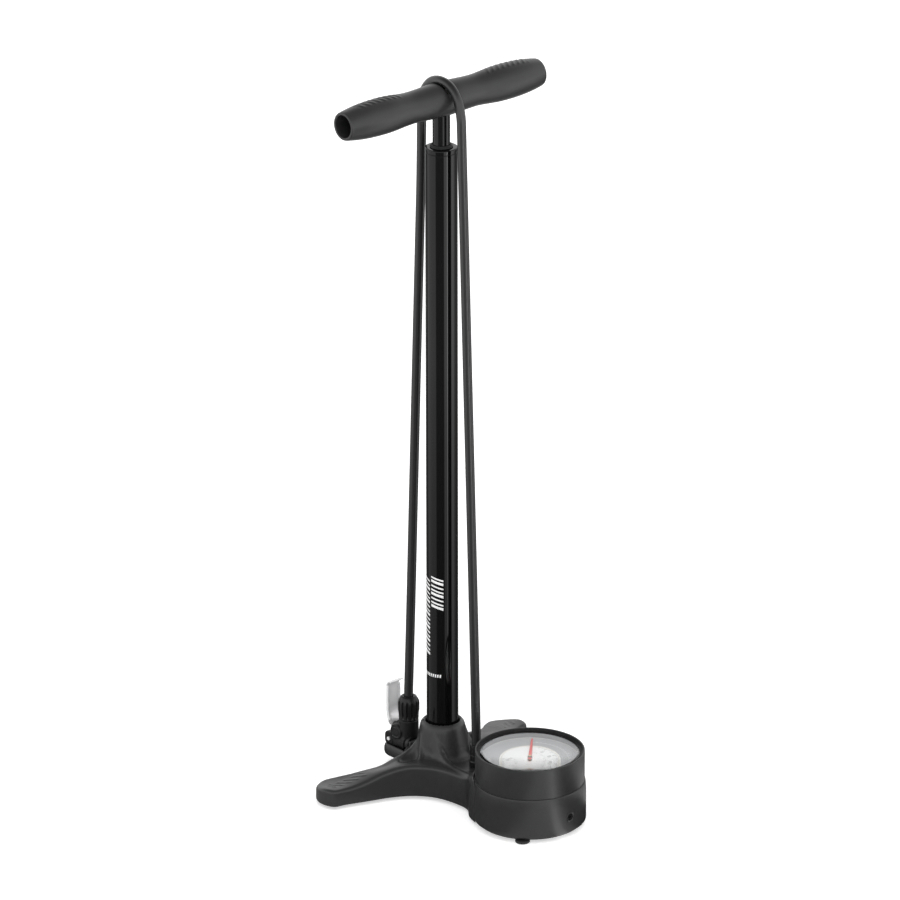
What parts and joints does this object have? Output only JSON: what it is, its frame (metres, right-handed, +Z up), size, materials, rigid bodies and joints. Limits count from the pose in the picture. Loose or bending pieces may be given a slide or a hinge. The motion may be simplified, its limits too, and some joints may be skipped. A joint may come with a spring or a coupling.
{
  "type": "floor bike pump",
  "caption": "Upright floor pump for bicycle tyres: tall barrel on a two-footed base with a large dial gauge, T handle, and a hose looped over the handle to a lever chuck parked on a dock.",
  "frame": {"origin": "on the floor, in the middle of the pump's footprint (without its hose)", "axes": "+Z up along the barrel; X along the handle and the feet; the gauge is at -Y and the chuck's dock at +Y; the barrel's axis is at y = 0.0499 m"},
  "size_m": [0.2436, 0.2398, 0.6776],
  "materials": {
    "dark_composite": "fine matte moulded grain",
    "gloss_black_paint": "smooth gloss black coating",
    "black_plastic": "satin moulded",
    "black_rubber": "smooth dull",
    "plain_steel": "plain zinc",
    "polished_aluminium": "polished",
    "brass": "as turned",
    "guide_plastic": "natural acetal",
    "dial_white": "matte white",
    "pointer_red": "satin red",
    "clear_lens": "clear, smooth"
  },
  "bodies": {
    "base": {"base_body": "dark_composite", "bottom_cover": "black_plastic", "cover_screw_1": "plain_steel", "cover_screw_2": "plain_steel", "cover_screw_3": "plain_steel", "left_foot_pad": "black_rubber", "right_foot_pad": "black_rubber", "gauge_pad_left": "black_rubber", "gauge_pad_right": "black_rubber", "gauge_housing": "dark_composite", "housing_screw_left": "plain_steel", "housing_screw_right": "plain_steel", "gauge_bezel": "dark_composite", "lens_gasket": "black_rubber", "gauge_lens": "clear_lens", "gauge_dial": "dial_white", "bezel_set_screw": "plain_steel", "gauge_socket": "brass", "bourdon_tube": "brass", "tube_link": "plain_steel", "movement_frame": "brass", "movement_screw": "plain_steel", "barrel": "gloss_black_paint", "barrel_cap": "gloss_black_paint", "rod_guide": "guide_plastic", "rod_wiper": "black_rubber", "barrel_seal": "black_rubber", "valve_seat": "brass", "valve_plug": "brass", "valve_spring": "plain_steel", "hose": "black_rubber", "hose_fitting": "black_plastic", "chuck_dock": "dark_composite", "dock_screw": "plain_steel", "chuck_body": "black_plastic", "chuck_nut": "black_plastic", "chuck_mouth_ring": "black_plastic", "chuck_seal": "black_rubber", "lever_pin": "polished_aluminium"},
    "rod": {"piston_rod": "gloss_black_paint", "rod_top_plug": "plain_steel", "handle": "dark_composite", "handle_bolt": "plain_steel", "piston_head": "guide_plastic", "piston_seal": "black_rubber", "topout_bumper": "black_rubber"},
    "lever": {"chuck_lever": "polished_aluminium"},
    "plunger": {"clamp_plunger": "plain_steel"},
    "sector": {"sector_gear": "brass", "sector_arbor": "plain_steel"},
    "needle": {"gauge_needle": "pointer_red", "pinion_arbor": "brass"},
    "poppet": {"check_valve": "black_rubber"}
  },
  "joints": [
    {"name": "handle_slide", "type": "slide", "parent": "base", "child": "rod", "axis": [0, 0, 1], "range_m": [0, 0.48], "deforming": ["hose"]},
    {"name": "chuck_lever_hinge", "type": "hinge", "parent": "base", "child": "lever", "pos_m": [0, 0.1139, 0.0245], "axis": [-1, 0, 0], "range_deg": [0, 90]},
    {"name": "clamp_plunger_slide", "type": "slide", "parent": "base", "child": "plunger", "axis": [0, 1, 0], "range_m": [0, 0.002]},
    {"name": "gauge_sector_hinge", "type": "hinge", "parent": "base", "child": "sector", "pos_m": [-0.024, -0.069, 0.037], "axis": [0, 0, 1], "range_deg": [0, 54], "stiffness_Nm_per_rad": 0.0002},
    {"name": "gauge_needle_hinge", "type": "hinge", "parent": "base", "child": "needle", "pos_m": [0, -0.069, 0.037], "axis": [0, 0, 1], "range_deg": [-270, 0]},
    {"name": "check_valve_slide", "type": "slide", "parent": "base", "child": "poppet", "axis": [0, 0, -1], "range_m": [0, 0.0015], "stiffness_N_per_m": 60, "springref_m": -0.001, "deforming": ["valve_spring"]}
  ],
  "couplings": [
    {"joint": "clamp_plunger_slide", "follows": "chuck_lever_hinge", "m_per_rad": 0.00127},
    {"joint": "gauge_needle_hinge", "follows": "gauge_sector_hinge", "ratio": -5}
  ]
}
